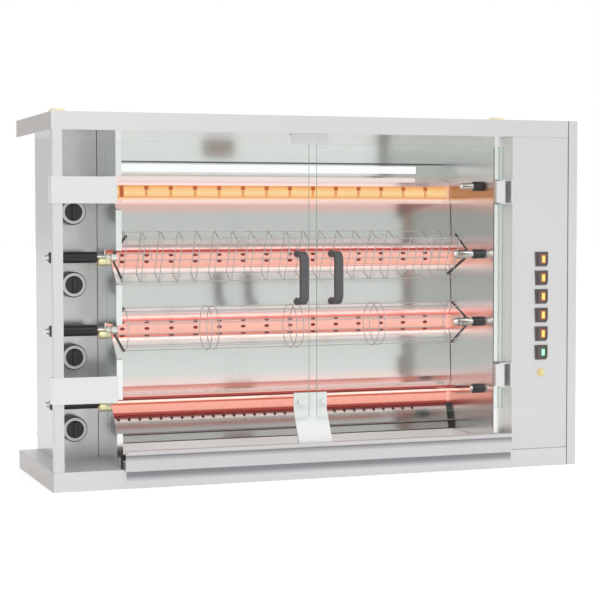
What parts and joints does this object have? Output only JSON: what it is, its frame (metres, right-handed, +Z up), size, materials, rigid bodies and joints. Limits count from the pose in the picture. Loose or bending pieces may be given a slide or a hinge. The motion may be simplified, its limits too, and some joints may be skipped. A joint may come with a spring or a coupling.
{
  "type": "gas chicken rotisserie",
  "caption": "Wide table-top gas rotisserie: glass-door chamber with stacked motor-driven spits and baskets, infrared burners behind, gas knobs at left, switches at right, drip tray below.",
  "frame": {"origin": "middle of the underside of the base, on the surface the machine stands on", "axes": "+X along the long side towards the controls, +Y from the front to the back, +Z up"},
  "size_m": [1.36, 0.4785, 0.902],
  "materials": {
    "casing": "satin",
    "chamber": "polished",
    "inner": "satin",
    "stop": "satin",
    "hinge": "satin",
    "spit": "polished",
    "wire": "satin",
    "probe": "satin",
    "pipe": "satin",
    "motor": "satin",
    "brass": "satin",
    "copper": "satin",
    "tile": "matt",
    "glass": "clear",
    "handle": "satin",
    "black": "semi-gloss",
    "amber": "gloss"
  },
  "bodies": {
    "cabinet": {"base_shell": "casing", "floor_plate": "casing", "lid_cover": "casing", "ceiling_panel": "chamber", "right_side_cover": "casing", "control_panel": "casing", "front_left_post": "casing", "knob_panel": "casing", "chamber_left_wall": "chamber", "chamber_right_wall": "chamber", "back_panel": "chamber", "rear_reflectors": "chamber", "burner_housings": "chamber", "burner_tiles": "tile", "burner_feed_pipes": "copper", "gas_valves": "brass", "gas_manifold": "pipe", "burner_probes": "probe", "gear_motors": "motor", "motor_plate": "inner", "drive_bearings": "black", "spit_rests": "brass", "upper_door_stop": "inner", "lower_door_stop": "stop", "front_rail": "inner", "door_hinge_brackets": "hinge", "switch_housings": "black", "button_bezel": "brass", "lid_caps": "brass", "cable_gland": "black"},
    "left_door": {"left_door_glass": "glass", "left_door_clamps": "hinge", "left_door_handle": "handle"},
    "right_door": {"right_door_glass": "glass", "right_door_clamps": "hinge", "right_door_handle": "handle"},
    "tray": {"drip_tray": "casing"},
    "top_drive": {"drive_coupling_1": "spit"},
    "flat_basket_spit": {"flat_basket": "wire", "flat_basket_ends": "spit", "flat_basket_grip": "black", "drive_coupling_2": "spit"},
    "round_basket_spit": {"round_basket": "wire", "round_basket_ends": "spit", "round_basket_grip": "black", "drive_coupling_3": "spit"},
    "plain_spit": {"spit_rod": "spit", "spit_rod_grip": "black", "drive_coupling_4": "spit"},
    "knob_1": {"gas_knob_1": "black"},
    "knob_2": {"gas_knob_2": "black"},
    "knob_3": {"gas_knob_3": "black"},
    "knob_4": {"gas_knob_4": "black"},
    "switch_1": {"rocker_1": "black"},
    "switch_2": {"rocker_2": "black"},
    "switch_3": {"rocker_3": "black"},
    "switch_4": {"rocker_4": "black"},
    "switch_5": {"rocker_5": "black"},
    "switch_6": {"rocker_6": "black"},
    "button": {"push_button": "amber"}
  },
  "joints": [
    {"name": "left_door_hinge", "type": "hinge", "parent": "cabinet", "child": "left_door", "pos_m": [-0.533, -0.203, 0.481], "axis": [0, 0, -1], "range_deg": [0, 95]},
    {"name": "right_door_hinge", "type": "hinge", "parent": "cabinet", "child": "right_door", "pos_m": [0.475, -0.1965, 0.481], "axis": [0, 0, 1], "range_deg": [0, 95]},
    {"name": "tray_slide", "type": "slide", "parent": "cabinet", "child": "tray", "axis": [0, -1, 0], "range_m": [0, 0.3]},
    {"name": "spit_turn_1", "type": "hinge", "parent": "cabinet", "child": "top_drive", "pos_m": [-0.04, -0.055, 0.716], "axis": [1, 0, 0], "continuous": true},
    {"name": "spit_turn_2", "type": "hinge", "parent": "cabinet", "child": "flat_basket_spit", "pos_m": [-0.04, -0.055, 0.54], "axis": [1, 0, 0], "continuous": true},
    {"name": "spit_turn_3", "type": "hinge", "parent": "cabinet", "child": "round_basket_spit", "pos_m": [-0.04, -0.055, 0.364], "axis": [1, 0, 0], "continuous": true},
    {"name": "spit_turn_4", "type": "hinge", "parent": "cabinet", "child": "plain_spit", "pos_m": [-0.04, -0.055, 0.188], "axis": [1, 0, 0], "continuous": true},
    {"name": "knob_turn_1", "type": "hinge", "parent": "cabinet", "child": "knob_1", "pos_m": [-0.586, -0.005, 0.649], "axis": [0, -1, 0], "range_deg": [0, 180]},
    {"name": "knob_turn_2", "type": "hinge", "parent": "cabinet", "child": "knob_2", "pos_m": [-0.586, -0.005, 0.473], "axis": [0, -1, 0], "range_deg": [0, 180]},
    {"name": "knob_turn_3", "type": "hinge", "parent": "cabinet", "child": "knob_3", "pos_m": [-0.586, -0.005, 0.297], "axis": [0, -1, 0], "range_deg": [0, 180]},
    {"name": "knob_turn_4", "type": "hinge", "parent": "cabinet", "child": "knob_4", "pos_m": [-0.586, -0.005, 0.121], "axis": [0, -1, 0], "range_deg": [0, 180]},
    {"name": "rocker_tilt_1", "type": "hinge", "parent": "cabinet", "child": "switch_1", "pos_m": [0.578, -0.213, 0.529], "axis": [0, 0, 1], "range_deg": [-16, 0]},
    {"name": "rocker_tilt_2", "type": "hinge", "parent": "cabinet", "child": "switch_2", "pos_m": [0.578, -0.213, 0.4815], "axis": [0, 0, 1], "range_deg": [-16, 0]},
    {"name": "rocker_tilt_3", "type": "hinge", "parent": "cabinet", "child": "switch_3", "pos_m": [0.578, -0.213, 0.434], "axis": [0, 0, 1], "range_deg": [-16, 0]},
    {"name": "rocker_tilt_4", "type": "hinge", "parent": "cabinet", "child": "switch_4", "pos_m": [0.578, -0.213, 0.3865], "axis": [0, 0, 1], "range_deg": [-16, 0]},
    {"name": "rocker_tilt_5", "type": "hinge", "parent": "cabinet", "child": "switch_5", "pos_m": [0.578, -0.213, 0.339], "axis": [0, 0, 1], "range_deg": [-16, 0]},
    {"name": "rocker_tilt_6", "type": "hinge", "parent": "cabinet", "child": "switch_6", "pos_m": [0.578, -0.213, 0.2915], "axis": [0, 0, 1], "range_deg": [-16, 0]},
    {"name": "button_press", "type": "slide", "parent": "cabinet", "child": "button", "axis": [0, 1, 0], "range_m": [0, 0.003], "stiffness_N_per_m": 300}
  ]
}
